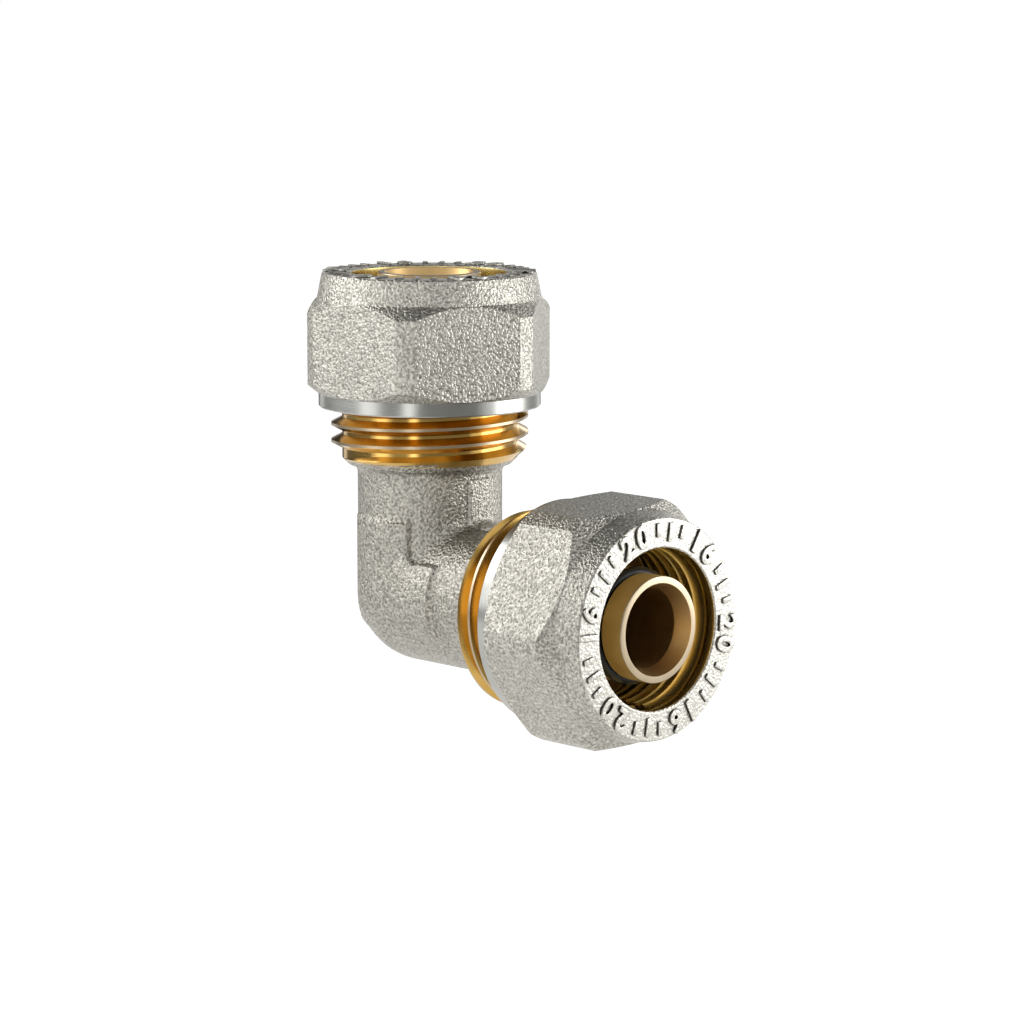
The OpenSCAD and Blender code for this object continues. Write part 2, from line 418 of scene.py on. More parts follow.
def blend_colours(tree, factor, first, second):
    """A colour between two, each of which is a plain colour or another node's output."""
    mix = tree.nodes.new("ShaderNodeMix")
    mix.data_type = "RGBA"
    tree.links.new(factor, mix.inputs["Factor"])
    for name, colour in (("A", first), ("B", second)):
        socket = [i for i in mix.inputs if i.name == name and i.type == "RGBA"][0]
        if isinstance(colour, tuple):
            socket.default_value = (*colour, 1)
        else:
            tree.links.new(colour, socket)
    return [o for o in mix.outputs if o.type == "RGBA"][0]


def two_tone(tree, factor, dark, light, shader):
    """Mixes two colours by a mask and feeds the shader's base colour."""
    tree.links.new(blend_colours(tree, factor, dark, light), shader.inputs["Base Color"])


# %% Nickel on a blasted forging
FORGING_NICKEL = ((0.20, 0.191, 0.167), (0.55, 0.526, 0.468))
NUT_NICKEL = ((0.235, 0.226, 0.20), (0.635, 0.613, 0.55))
FACE_NICKEL = ((0.46, 0.446, 0.405), (0.68, 0.66, 0.60))
# Painted shade: a near-black nickel for the sides of the raised marks, standing in for their shade.
MARK_SIDE_PAINTED_SHADE = ((0.02, 0.019, 0.016), (0.07, 0.066, 0.057))
# Painted shade: a near-black colour laid on where an occlusion pass finds a point closed in by raised marks.
PAINTED_SHADE_COLOUR = (0.06, 0.056, 0.048)
FULL_SHADE_OPENNESS, NO_SHADE_OPENNESS = 0.55, 0.92       # how open a point is where the painted shade is full, and where it ends


def blasted_nickel(name, tones, grain, depth, rough_low, rough_high, shade_reach=0.0):
    """Nickel plating over a blasted surface, darker in its pits, with painted shade in corners within the
    given reach.
    """
    material, tree, shader, place = new_material(name)
    skin = place_group(tree, blasted_skin, Grain=grain)
    rough = place_group(tree, patches, Size=300.0, Low=rough_low, High=rough_high)
    for node in (skin, rough):
        tree.links.new(place, node.inputs["Vector"])
    colour = blend_colours(tree, skin.outputs["Height"], *tones)
    # Painted shade: an occlusion pass darkens the colour in corners and at the foot of raised things, where
    # shade falls.
    if shade_reach:
        open_sky = add_node(tree, "ShaderNodeAmbientOcclusion", Distance=shade_reach)
        open_sky.only_local = True
        shade_fade = add_node(tree, "ShaderNodeMapRange", From_Min=FULL_SHADE_OPENNESS, From_Max=NO_SHADE_OPENNESS)
        tree.links.new(open_sky.outputs["AO"], shade_fade.inputs["Value"])
        colour = blend_colours(tree, shade_fade.outputs["Result"], PAINTED_SHADE_COLOUR, colour)
    tree.links.new(colour, shader.inputs["Base Color"])
    tree.links.new(rough.outputs["Value"], shader.inputs["Roughness"])
    shader.inputs["Metallic"].default_value = 1.0
    bump_from(tree, skin.outputs["Height"], shader, depth)
    return material


forging_skin = blasted_nickel("nickel on the forging", FORGING_NICKEL, 3400.0, 0.00009, 0.36, 0.46)
nut_skin = blasted_nickel("nickel on the nuts", NUT_NICKEL, 3600.0, 0.00009, 0.34, 0.44)
# The faces of the nuts carry painted shade right beside the foot of each raised mark.
face_skin = blasted_nickel("nickel on the faces", FACE_NICKEL, 3300.0, 0.00004, 0.32, 0.38, shade_reach=0.0005)
mark_side_shade = blasted_nickel("nickel with painted shade on mark sides", MARK_SIDE_PAINTED_SHADE, 3300.0, 0.00002, 0.50, 0.60)
print("blasted nickel:", [m.name for m in (forging_skin, nut_skin, face_skin, mark_side_shade)])


# %% Turned metals
def turned_metal(name, dark, light, rough, depth, lines, metallic=1.0):
    """Metal with lathe lines round its arm: a material for each arm, by whether it is the side arm."""
    made = {}
    for side, arm_name in ((False, "upright"), (True, "side")):
        material, tree, shader, place = new_material(f"{name} {arm_name}")
        arm = along_arm(tree, place, side)
        cut = place_group(tree, lathe_lines, Lines=lines)
        tree.links.new(arm, cut.inputs["Vector"])
        two_tone(tree, cut.outputs["Streak"], dark, light, shader)
        shader.inputs["Roughness"].default_value = rough
        shader.inputs["Metallic"].default_value = metallic
        bump_from(tree, cut.outputs["Height"], shader, depth)
        made[side] = material
    return made


turned_nickel = turned_metal(
    "turned nickel", (0.35, 0.35, 0.33), (0.46, 0.46, 0.435), 0.25, 0.000010, 9000.0)
thread_brass = turned_metal(
    "thread brass", (0.46, 0.28, 0.07), (0.66, 0.43, 0.13), 0.17, 0.000005, 12000.0)
crest_metal = turned_metal(
    "crest metal", (0.36, 0.29, 0.19), (0.50, 0.41, 0.29), 0.30, 0.000004, 12000.0)
nipple_brass = turned_metal(
    "nipple brass", (0.48, 0.31, 0.125), (0.64, 0.45, 0.21), 0.42, 0.000005, 9000.0)
dull_brass = turned_metal(
    "dull brass", (0.66, 0.45, 0.17), (0.86, 0.64, 0.30), 0.50, 0.000008, 7000.0, metallic=0.6)
ring_brass = turned_metal(
    "ring brass", (0.57, 0.44, 0.165), (0.90, 0.735, 0.33), 0.27, 0.000005, 9000.0)
print("turned metals", [m.name for m in bpy.data.materials if m.name.endswith((" upright", " side"))])


# %% Seals and washers
def seal_rubber():
    """Black nitrile rubber with a little oil on it."""
    material, tree, shader, place = new_material("seal rubber")
    bloom = place_group(tree, patches, Size=700.0, Low=0.28, High=0.45)
    grain = place_group(tree, blasted_skin, Grain=5000.0)
    tree.links.new(place, bloom.inputs["Vector"])
    tree.links.new(place, grain.inputs["Vector"])
    two_tone(tree, bloom.outputs["Value"], (0.005, 0.006, 0.010), (0.014, 0.016, 0.024), shader)
    shader.inputs["Specular IOR Level"].default_value = 0.25
    tree.links.new(bloom.outputs["Value"], shader.inputs["Roughness"])
    bump_from(tree, grain.outputs["Height"], shader, 0.000008)
    return material


def washer_plastic():
    """White sheet plastic, punched and slightly waxy."""
    material, tree, shader, place = new_material("washer plastic")
    tone = place_group(tree, patches, Size=400.0)
    tree.links.new(place, tone.inputs["Vector"])
    two_tone(tree, tone.outputs["Value"], (0.66, 0.65, 0.60), (0.78, 0.77, 0.73), shader)
    shader.inputs["Roughness"].default_value = 0.45
    bump_from(tree, tone.outputs["Value"], shader, 0.00001)
    return material


rubber = seal_rubber()
plastic = washer_plastic()
print("materials", len(bpy.data.materials))

# %% [markdown]
# ## Turning a half section
# Nearly every piece here was made on a lathe, and the spin operator does the same job: it carries a half
# section round the axis. The half section is a short list of points, each a radius and a height along
# the arm. Pieces of the side arm are made upright too and then laid over.

# %% Spin, lay over, finish
FULL_STEPS = 144
TO_SIDE_ARM = Matrix.Rotation(math.radians(90), 4, "Y")
ORIGIN = Vector((0, 0, 0))
UP = Vector((0, 0, 1))


def spun(outline, closed=True, turn=math.tau, steps=FULL_STEPS):
    """A new bmesh: the outline spun round Z. An open outline starts and ends on the axis."""
    bm = bmesh.new()
    points = [bm.verts.new((r * MM, 0, z * MM)) for r, z in outline]
    pairs = list(zip(points, points[1:]))
    if closed:
        pairs.append((points[-1], points[0]))
    edges = [bm.edges.new(pair) for pair in pairs]
    full = math.isclose(turn, math.tau)
    bmesh.ops.spin(
        bm, geom=points + edges, cent=ORIGIN, axis=UP, angle=turn, steps=steps, use_merge=full)
    bmesh.ops.remove_doubles(bm, verts=bm.verts, dist=0.0001 * MM)
    bmesh.ops.dissolve_degenerate(bm, dist=0.0001 * MM, edges=bm.edges)
    if not full:
        rims = [e for e in bm.edges if e.is_boundary]
        bmesh.ops.holes_fill(bm, edges=rims, sides=0)
    bmesh.ops.recalc_face_normals(bm, faces=bm.faces)
    return bm


def arc(centre, radius, start, end, count):
    """Points on an arc in the half section, angles in degrees from the outward direction."""
    return [
        (centre[0] + radius * math.cos(math.radians(start + (end - start) * i / count)),
         centre[1] + radius * math.sin(math.radians(start + (end - start) * i / count)))
        for i in range(count + 1)
    ]


def soften(bm, width, least_angle=25, segments=2, keep=lambda edge: True):
    """Bevels every edge that is sharper than the angle."""
    sharp = [
        e for e in bm.edges
        if e.is_manifold and e.calc_face_angle(0) > math.radians(least_angle) and keep(e)
    ]
    bmesh.ops.bevel(
        bm, geom=sharp, offset=width * MM, offset_type="OFFSET", affect="EDGES",
        segments=segments, profile=0.5, material=-1, clamp_overlap=True)


def piece(name, bm, body, nodes, materials, pick=None, side=False, rim=lambda edge: False):
    """Turns a bmesh into a finished piece: laid over, coloured by zone, riding on its body."""
    for edge in bm.edges:
        edge.smooth = edge.calc_face_angle(0) < math.radians(35) and not rim(edge)
    if pick:
        for face in bm.faces:
            face.material_index = pick(face.calc_center_median() / MM, face.normal)
    if side:
        bmesh.ops.transform(bm, matrix=TO_SIDE_ARM, verts=bm.verts)
    for face in bm.faces:
        face.smooth = True
    mesh = bpy.data.meshes.new(name)
    bm.to_mesh(mesh)
    bm.free()
    for material in materials:
        mesh.materials.append(material)
    made = bpy.data.objects.new(name, mesh)
    scene.collection.objects.link(made)
    weighted = made.modifiers.new("even shading", "WEIGHTED_NORMAL")
    weighted.keep_sharp = True
    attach(made, body)
    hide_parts(*nodes)
    print(name, len(mesh.polygons), "faces")
    return made


# %% [markdown]
# ## Nuts
# A compression nut is a hexagon bar or forging with a turned ring at the rear, where it was held, and a
# cone in front. Both ends of the hexagon are chamfered on the lathe, and that is what draws the curved
# line on each flat. The quickest way to the true curves is the real one: turn the blank first, then cut
# the six flats with planes.

# %% Sizes of a nut
nut_low, nut_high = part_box("upright_nut")
REACH = nut_high[2] / MM
NUT_REAR = nut_low[2] / MM
ACROSS_FLATS = 24.0
CORNER_R = 13.3
REAR_RING_R = 11.8
REAR_RING_END = NUT_REAR + 1.5
COLLAR_BASE_R = 11.9
COLLAR_BASE = REACH - 2.7
COLLAR_TOP_R = 11.4
MOUTH_R = 8.3
THREAD_ROOM_R = 10.55
RING_ROOM_R = 9.45
RING_ROOM = REACH - 1.5
THREAD_ROOM_END = 27.2
THREAD_ROOM_MOUTH = 0.4
NUT_THREAD_START = NUT_REAR + 0.9
NUT_THREAD_TURNS = 3.2
LIP_CONE = 0.5
ROOM_CONE = 1.0
FRONT_CHAMFER = 1.35
REAR_CHAMFER = 1.1
EDGE = 0.15
print("nut from", round(NUT_REAR, 3), "to", round(REACH, 3), "along its arm")

# %% [markdown]
# The nut's own thread is inside, where only its first turn shows when the nut stands off the body. It is
# a ridge like the one on the body, pointing inwards, so the helper that makes ridges comes first. The
# spin operator can lift a little with each step, and a spin that lifts is a helix. Both ends of a
# real thread run out, so the ridge shrinks to nothing there.

# %% A helical ridge
PITCH = 1.814
CREST_R = 20.955 / 2
ROOT_R = CREST_R - 1.162
RIDGE_STEPS = 96
HALF_CREST = 0.15
FLANK_ANGLE = math.radians(27.5)
LEAST_RIDGE = 0.02


def ridge(base_r, tip_r, start, turns, run_out):
    """A new bmesh: a right-hand ridge round Z, from base_r to tip_r, whose middle starts at the height."""
    rise = abs(tip_r - base_r)
    half_base = HALF_CREST + rise * math.tan(FLANK_ANGLE)
    section = [
        (base_r, start - half_base), (tip_r, start - HALF_CREST), (tip_r, start),
        (tip_r, start + HALF_CREST), (base_r, start + half_base),
    ]
    bm = bmesh.new()
    points = [bm.verts.new((r * MM, 0, z * MM)) for r, z in section]
    edges = [bm.edges.new(pair) for pair in zip(points, points[1:] + points[:1])]
    steps = round(turns * RIDGE_STEPS)
    bmesh.ops.spin(
        bm, geom=points + edges, cent=ORIGIN, axis=UP, angle=turns * math.tau, steps=steps,
        dvec=UP * PITCH * MM / RIDGE_STEPS)
    for vert in bm.verts:
        angle = math.atan2(vert.co.y, vert.co.x) / math.tau
        height = vert.co.z / MM
        turn = angle + round((height - start) / PITCH - angle)
        middle = start + turn * PITCH
        size = min(1.0, *(max(LEAST_RIDGE, left / run_out) for left in (turn, turns - turn)))
        radius = math.hypot(vert.co.x, vert.co.y)
        new_radius = (base_r + (radius / MM - base_r) * size) * MM
        vert.co.x *= new_radius / radius
        vert.co.y *= new_radius / radius
        vert.co.z = (middle + (height - middle) * size) * MM
    bmesh.ops.holes_fill(bm, edges=[e for e in bm.edges if e.is_boundary], sides=0)
    bmesh.ops.recalc_face_normals(bm, faces=bm.faces)
    return bm


def join(target, other, turn=0.0):
    """Adds another bmesh to a bmesh, turned round Z by degrees."""
    bmesh.ops.rotate(
        other, verts=other.verts, cent=ORIGIN, matrix=Matrix.Rotation(math.radians(turn), 3, "Z"))
    holder = bpy.data.meshes.new("holder")
    other.to_mesh(holder)
    other.free()
    target.from_mesh(holder)
    bpy.data.meshes.remove(holder)


# %% [markdown]
# ## Raised marks on the nut's face
# The face of the nut carries raised marks. Here they are the pipe's size, 16 and 20, and short index marks.
# Each numeral is a text object, turned into a mesh and then set on the ring of the face. Shade is painted
# on: the sides of each mark get a near-black colour, and an occlusion pass darkens the metal right beside its
# foot, so both are darker than its top.

# %% Raised marks
MARK_R = 9.9
MARK_HEIGHT = 0.2
MARK_BEVEL = 0.05
DIGIT_SIZE = 3.2
DIGIT_WEIGHT = 0.08
BAR_WIDTH = 0.55
BAR_BEVEL = 0.07
SHORT_BAR, LONG_BAR = 1.4, 1.9
MARK_GROUPS = 3
NUMERALS = (("1", 6.5), ("6", -6.5), ("2", 66.5), ("0", 53.5))
BARS = (
    (20, SHORT_BAR), (30, LONG_BAR), (40, SHORT_BAR), (80, SHORT_BAR), (90, LONG_BAR), (100, SHORT_BAR))


def digit(character):
    """A new bmesh: one raised numeral, its middle at the origin and its face up."""
    curve = bpy.data.curves.new("digit", "FONT")
    curve.body = character
    curve.align_x = "CENTER"
    curve.align_y = "CENTER"
    curve.size = DIGIT_SIZE * MM
    curve.extrude = MARK_HEIGHT * MM
    curve.bevel_depth = MARK_BEVEL * MM
    curve.bevel_resolution = 2
    curve.offset = DIGIT_WEIGHT * MM
    curve.resolution_u = 6
    text = bpy.data.objects.new("digit", curve)
    scene.collection.objects.link(text)
    bpy.context.view_layer.update()
    mesh = bpy.data.meshes.new_from_object(text)
    bm = bmesh.new()
    bm.from_mesh(mesh)
    bmesh.ops.remove_doubles(bm, verts=bm.verts, dist=0.002 * MM)
    bpy.data.objects.remove(text)
    bpy.data.meshes.remove(mesh)
    return bm


def index_bar(length):
    """A new bmesh: one short raised bar with rounded edges."""
    bm = bmesh.new()
    bmesh.ops.create_cube(bm, size=1.0)
    bmesh.ops.scale(bm, vec=Vector((length, BAR_WIDTH, 2 * MARK_HEIGHT)) * MM, verts=bm.verts)
    bmesh.ops.bevel(
        bm, geom=bm.edges[:], offset=BAR_BEVEL * MM, affect="EDGES", segments=2, profile=0.5, material=-1)
    return bm


def set_on_face(target, mark, angle, radius, quarter=0):
    """Moves a mark out to its place on the nut's face and joins it."""
    bmesh.ops.rotate(
        mark, verts=mark.verts, cent=ORIGIN, matrix=Matrix.Rotation(math.radians(quarter), 3, "Z"))
    bmesh.ops.translate(mark, verts=mark.verts, vec=Vector((radius, 0, REACH)) * MM)
    join(target, mark, angle)


# %% Turn a blank and cut its flats
def nut_blank():
    """The turned blank of a nut, before its flats are cut."""
    return spun([
        (THREAD_ROOM_R + THREAD_ROOM_MOUTH, NUT_REAR), (REAR_RING_R - EDGE, NUT_REAR),
        (REAR_RING_R, NUT_REAR + EDGE), (REAR_RING_R, REAR_RING_END),
        (COLLAR_BASE_R, REAR_RING_END), (CORNER_R, REAR_RING_END + REAR_CHAMFER),
        (CORNER_R, COLLAR_BASE - FRONT_CHAMFER), (COLLAR_BASE_R, COLLAR_BASE),
        (COLLAR_TOP_R, REACH - EDGE), (COLLAR_TOP_R - EDGE, REACH),
        (MOUTH_R + EDGE, REACH), (MOUTH_R, REACH - EDGE), (MOUTH_R, RING_ROOM + LIP_CONE),
        (RING_ROOM_R, RING_ROOM), (RING_ROOM_R, THREAD_ROOM_END + ROOM_CONE),
        (THREAD_ROOM_R, THREAD_ROOM_END), (THREAD_ROOM_R, NUT_REAR + THREAD_ROOM_MOUTH),
    ])


def cut_flats(bm, corner_angle):
    """Cuts the hexagon's six flats with planes and closes each cut with one face."""
    for k in range(6):
        angle = math.radians(corner_angle + 30 + 60 * k)
        outward = Vector((math.cos(angle), math.sin(angle), 0))
        cut = bmesh.ops.bisect_plane(
            bm, geom=bm.verts[:] + bm.edges[:] + bm.faces[:], dist=0.0001 * MM,
            plane_co=outward * ACROSS_FLATS / 2 * MM, plane_no=outward, clear_outer=True)
        rim = [e for e in cut["geom_cut"] if isinstance(e, bmesh.types.BMEdge)]
        bmesh.ops.holes_fill(bm, edges=rim, sides=0)
    bmesh.ops.recalc_face_normals(bm, faces=bm.faces)


# %% Model the nuts
def nut_zone(centre, normal):
    """Which finish a face of a nut has: 0 skin, 1 turned, 2 brass inside, 3 front, 4 painted shade on the
    sides of marks.
    """
    radius = math.hypot(centre.x, centre.y)
    # The sides of the raised marks get the painted shade.
    if centre.z > REACH + 0.01 and normal.z < 0.5:
        return 4
    if centre.z > REACH - 0.05 and radius > MOUTH_R + 0.1:
        return 3
    if radius < MOUTH_R + 0.02 or (centre.z < REACH - 1 and radius < THREAD_ROOM_R + 0.3):
        return 2
    if centre.z < REAR_RING_END + 0.05 and radius < CORNER_R - 0.9:
        return 1
    return 0


def make_nut(name, corner_angle, first_mark, side):
    """One nut on its arm, with its marks."""
    bm = nut_blank()
    cut_flats(bm, corner_angle)
    soften(bm, 0.22, least_angle=20, segments=3)
    join(bm, ridge(THREAD_ROOM_R + 0.05, THREAD_ROOM_R - 0.02, NUT_THREAD_START, NUT_THREAD_TURNS, 0.3))
    for k in range(MARK_GROUPS):
        middle = first_mark + 360 / MARK_GROUPS * k
        for character, offset in NUMERALS:
            set_on_face(bm, digit(character), middle + offset, MARK_R, -90)
        for offset, length in BARS:
            set_on_face(bm, index_bar(length), middle + offset, MARK_R + (LONG_BAR - length) / 2)
    return piece(
        name, bm, name, [name],
        [nut_skin, turned_nickel[side], ring_brass[side], face_skin, mark_side_shade], nut_zone, side)


UPRIGHT_NUT_ANGLE = 7
SIDE_NUT_ANGLE = 34
make_nut("upright_nut", UPRIGHT_NUT_ANGLE, 40, False)
make_nut("side_nut", SIDE_NUT_ANGLE, 261, True)

# %% [markdown]
# ## Split rings
# The ring inside each nut is turned with saw teeth in its bore and then slit, so that the nut's cone can
# close it on the pipe. A spin that stops short of a full turn leaves the slit, and both ends are capped.

# %% Model the split rings
RING_R = 9.25
RING_TAIL_R = 8.55
RING_CONE = 1.5
RING_EDGE = 0.4
RING_FRONT = REACH - 1.6
RING_REAR = RING_FRONT - 6.8
TOOTH_R = 8.1
TOOTH_ROOT_R = TOOTH_R + 0.4
TOOTH_PITCH = 1.25
TEETH = 5
SLIT = 1.3


def ring_outline():
    """Half section of the ring: a ramp on each tooth lets the pipe in and a step holds it."""
    outline = [
        (TOOTH_ROOT_R, RING_REAR), (RING_TAIL_R, RING_REAR), (RING_R, RING_REAR + RING_CONE),
        (RING_R, RING_FRONT - RING_EDGE), (RING_R - RING_EDGE, RING_FRONT), (TOOTH_ROOT_R, RING_FRONT),
    ]
    for i in range(1, TEETH + 1):
        step = RING_FRONT - 0.1 - i * TOOTH_PITCH
        outline += [
            (TOOTH_ROOT_R, step + TOOTH_PITCH - 0.15), (TOOTH_R + 0.26, step + 0.42),
            (TOOTH_R + 0.08, step + 0.20), (TOOTH_R, step + 0.12),
            (TOOTH_R, step), (TOOTH_ROOT_R, step),
        ]
    return outline


def make_split_ring(name, body, slit_angle, side):
    """One ring with its slit turned to the angle."""
    gap = 2 * math.asin(SLIT / 2 / RING_R)
    bm = spun(ring_outline(), turn=math.tau - gap)
    bmesh.ops.rotate(
        bm, verts=bm.verts, cent=ORIGIN,
        matrix=Matrix.Rotation(math.radians(slit_angle) + gap / 2, 3, "Z"))
    soften(bm, 0.05, least_angle=40)
    return piece(name, bm, body, [name], [ring_brass[side]], side=side)


make_split_ring("upright_split_ring", "upright_ring", 180, False)
make_split_ring("side_split_ring", "side_ring", 0, True)

# %% [markdown]
# ## Body
# The body is one hot forging. Each arm is a plain round rod that swells into a threaded barrel, with a
# socket in its end and a nipple standing in the socket, and all of that is turned after the forging is
# plated, so it is bare brass. Both arms are the same, so one arm is spun with a round end, cut off on
# the mitre plane between the arms and mirrored across it.

# %% Sizes of the body
ARM_R = 7.7
BARREL_START = 13.7
BARREL_END = 24.2
NECK_FILLET = 1.0
CHAMFER_TOP = BARREL_START + ROOT_R - ARM_R - NECK_FILLET
PIPE_STOP = 19.5
WASHER = 1.0
SOCKET_R = 8.15
SOCKET_CONE = 1.5
BARREL_MOUTH_R = 9.0
SHOULDER_R = 6.15
LAND_R = 5.85
GROOVE_R = 4.75
GROOVE_W = 1.6
NOSE_R = 5.45
NOSE = 2.7
NOSE_EDGE = 0.12
FRONT_GROOVE = REACH - NOSE - GROOVE_W
REAR_GROOVE = FRONT_GROOVE - 3.8
BORE_R = 4.15
BORE_MOUTH_R = NOSE_R - 0.7
BORE_CONE = 1.8
DRILL_PAST = 2.6
DRILL_POINT = 2.49
FLAT_X = 7.9
FLAT_HALF = 1.4
FLAT_END = 12.7
ARM_ROWS = 38
print("O-ring grooves from", round(FRONT_GROOVE, 3), "and", round(REAR_GROOVE, 3), "along each arm")


def arm_outline():
    """Half section of one arm, from the heel's pole to the middle of the nipple's nose."""
    return (
        arc((0, 0), ARM_R, -90, 0, 36)
        + [(ARM_R, FLAT_END * (i + 1) / ARM_ROWS) for i in range(ARM_ROWS)]
        + arc((ARM_R + NECK_FILLET, BARREL_START - NECK_FILLET), NECK_FILLET, 180, 90, 6)
        + [
            (ROOT_R, CHAMFER_TOP), (ROOT_R, BARREL_END - 0.3), (ROOT_R - 0.15, BARREL_END), 
            (BARREL_MOUTH_R, BARREL_END), (SOCKET_R, BARREL_END - SOCKET_CONE),
            (SOCKET_R, PIPE_STOP - WASHER),
            (SHOULDER_R, PIPE_STOP - WASHER), (SHOULDER_R, PIPE_STOP), (LAND_R, PIPE_STOP),
            (LAND_R, REAR_GROOVE), (GROOVE_R, REAR_GROOVE), (GROOVE_R, REAR_GROOVE + GROOVE_W),
            (LAND_R, REAR_GROOVE + GROOVE_W), (LAND_R, FRONT_GROOVE), (GROOVE_R, FRONT_GROOVE),
            (GROOVE_R, FRONT_GROOVE + GROOVE_W), (NOSE_R, FRONT_GROOVE + GROOVE_W),
        ]
        + arc((NOSE_R - NOSE_EDGE, REACH - NOSE_EDGE), NOSE_EDGE, 0, 90, 3)
        + [(0, REACH)]
    )


# %% Cut the mitre and mirror
def mirror_across_mitre(bm):
    """Keeps the arm's side of the mitre and adds its twin."""
    bmesh.ops.rotate(bm, verts=bm.verts, cent=ORIGIN, matrix=Matrix.Rotation(math.radians(-45), 3, "Y"))
    bmesh.ops.bisect_plane(
        bm, geom=bm.verts[:] + bm.edges[:] + bm.faces[:], dist=0.001 * MM,
        plane_co=ORIGIN, plane_no=(1, 0, 0), clear_outer=True)
    bmesh.ops.mirror(
        bm, geom=bm.verts[:] + bm.edges[:] + bm.faces[:], matrix=Matrix.Identity(4),
        merge_dist=0.002 * MM, axis="X")
    bmesh.ops.rotate(bm, verts=bm.verts, cent=ORIGIN, matrix=Matrix.Rotation(math.radians(45), 3, "Y"))
    bmesh.ops.recalc_face_normals(bm, faces=bm.faces)


body_bm = spun(arm_outline(), closed=False)
mirror_across_mitre(body_bm)
print("open edges after the mirror", sum(e.is_boundary for e in body_bm.edges))

# %% [markdown]
# A forging takes the shape of its die, and nothing in a die is sharp: the arms run into each other in a
# soft crease, the raised panel on the cheek has sloping sides, and only the strip where the flash was
# trimmed is flat. The blended arms are written as one distance to their skin, and the blank is pressed
# out to it: each vertex moves along the skin's normal until it meets the skin, and then out by the
# height of the strip or the panel at that point. The cheek and the strip are subdivided first, so that
# the small slopes have vertices to carry them.

# %% The panel and its slopes
PANEL_RISE = 0.42
PANEL_INNER = 4.0
PANEL_OUTER = 3.2
PANEL_HEEL = 4.0
PANEL_REACH = 8.2
PANEL_SLOPE = 0.5
PANEL_NOTCH = 8.65
PANEL_FADE = 5
PANEL_EDGE_Y = -1.6


def ease(value):
    """0 below 0 and 1 above 1, with a soft start and end."""
    value = min(1.0, max(0.0, value))
    return value * value * (3 - 2 * value)


def outside_box(x, z, high_x, high_z):
    """Distance to a rectangle on the cheek, whose sides at the heel fade out; inside is negative."""
    dx = max((-PANEL_HEEL - x) / PANEL_FADE, x - high_x)
    dz = max((-PANEL_OUTER - z) / PANEL_FADE, z - high_z)
    return math.hypot(max(dx, 0), max(dz, 0)) + min(max(dx, dz), 0)


def panel_rise(x, y, z):
    """How far the cheek panel stands out at a point."""
    notch = max((x + z - PANEL_NOTCH) / math.sqrt(2), outside_box(x, z, PANEL_HEEL + 1, PANEL_HEEL + 1))
    field = min(
        outside_box(x, z, PANEL_INNER, PANEL_REACH), outside_box(x, z, PANEL_REACH, PANEL_INNER), notch)
    return PANEL_RISE * ease(0.5 - field / PANEL_SLOPE) * ease((PANEL_EDGE_Y - y) / PANEL_SLOPE)


# %% The skin of the two arms
CREASE_BLEND = 1.3
CREASE_FADE = 4


def blended(first, second, corner):
    """The nearer of two distances, with the corner between the two filled in softly."""
    blend = CREASE_BLEND * ease(corner / CREASE_FADE) + 0.001
    overlap = max(blend - abs(first - second), 0) / blend
    return min(first, second) - overlap ** 2 * blend / 4


def skin_distance(point):
    """How far a point is outside the two arms, in millimetres; inside is negative."""
    x, y, z = point
    return blended(
        math.hypot(x, y, min(z, 0)) - ARM_R, math.hypot(min(x, 0), y, z) - ARM_R, min(x, z))


def strip_distance(point):
    """How far a point is outside the trimmed strip of the inner corner."""
    return blended(point.x - FLAT_X, point.z - FLAT_X, min(point.x, point.z))


def slope(distance, point):
    """The direction in which a distance grows fastest."""
    step = 0.01
    return Vector(
        distance(point + axis * step) - distance(point - axis * step)
        for axis in (Vector((1, 0, 0)), Vector((0, 1, 0)), Vector((0, 0, 1)))
    ).normalized()


# %% Press the blank into the die
STRIP_EDGE = 0.24
STRIP_CROTCH = 5
PRESS_STROKES = 8
CLOSE_ENOUGH = 0.002
CHEEK_Y = -1.0
CHEEK_REACH = 9.2
CHEEK_HEEL = -9.0
STRIP_Y = 2.2
STRIP_FROM = 4.0
STRIP_CORNER = 3.0


def press_into_die(bm):
    """Moves the forged part's vertices out to the skin, the trimmed strip and the panel."""
    for vert in bm.verts:
        point = vert.co / MM
        if max(point.x, point.z) > FLAT_END - 0.05:
            continue
        for _ in range(PRESS_STROKES):
            gap = skin_distance(point)
            if gap > -CLOSE_ENOUGH:
                break
            point = point - slope(skin_distance, point) * gap * 0.9
        strip = ease((FLAT_HALF + STRIP_EDGE / 2 - abs(point.y)) / STRIP_EDGE)
        if min(point.x, point.z) > STRIP_CROTCH and strip > 0:
            gap = min(0, strip_distance(point))
            point = point - slope(strip_distance, point) * gap * strip
        rise = panel_rise(*point)
        if rise > 0:
            point = point + slope(skin_distance, point) * rise
        vert.co = point * MM


def on_cheek(edge):
    """True for an edge of the cheek, down to the heel."""
    ends = [v.co for v in edge.verts]
    return (
        all(p.y < CHEEK_Y * MM and max(p.x, p.z) < CHEEK_REACH * MM for p in ends)
        and max(p.x + p.z for p in ends) > CHEEK_HEEL * MM)


def on_strip(edge):
    """True for an edge of the trimmed strip or close to it."""
    return all(
        abs(v.co.y) < STRIP_Y * MM and STRIP_FROM * MM < max(v.co.x, v.co.z) < FLAT_END * MM
        and min(v.co.x, v.co.z) > STRIP_CORNER * MM
        for v in edge.verts)


for chosen in (on_cheek, on_strip):
    finer = [e for e in body_bm.edges if chosen(e)]
    bmesh.ops.subdivide_edges(body_bm, edges=finer, cuts=1, use_grid_fill=True)
press_into_die(body_bm)


def machined(edge):
    """True for an edge of the turned part of an arm."""
    return all(max(v.co.x, v.co.z) > (BARREL_START - 0.1) * MM for v in edge.verts)


soften(body_bm, 0.06, least_angle=40, keep=machined)
print("body vertices", len(body_bm.verts))

# %% [markdown]
# The waterway is drilled from both ends and each drill runs a little past the crossing. A difference
# with two spun drills, which flare at the nose, makes the same hole.

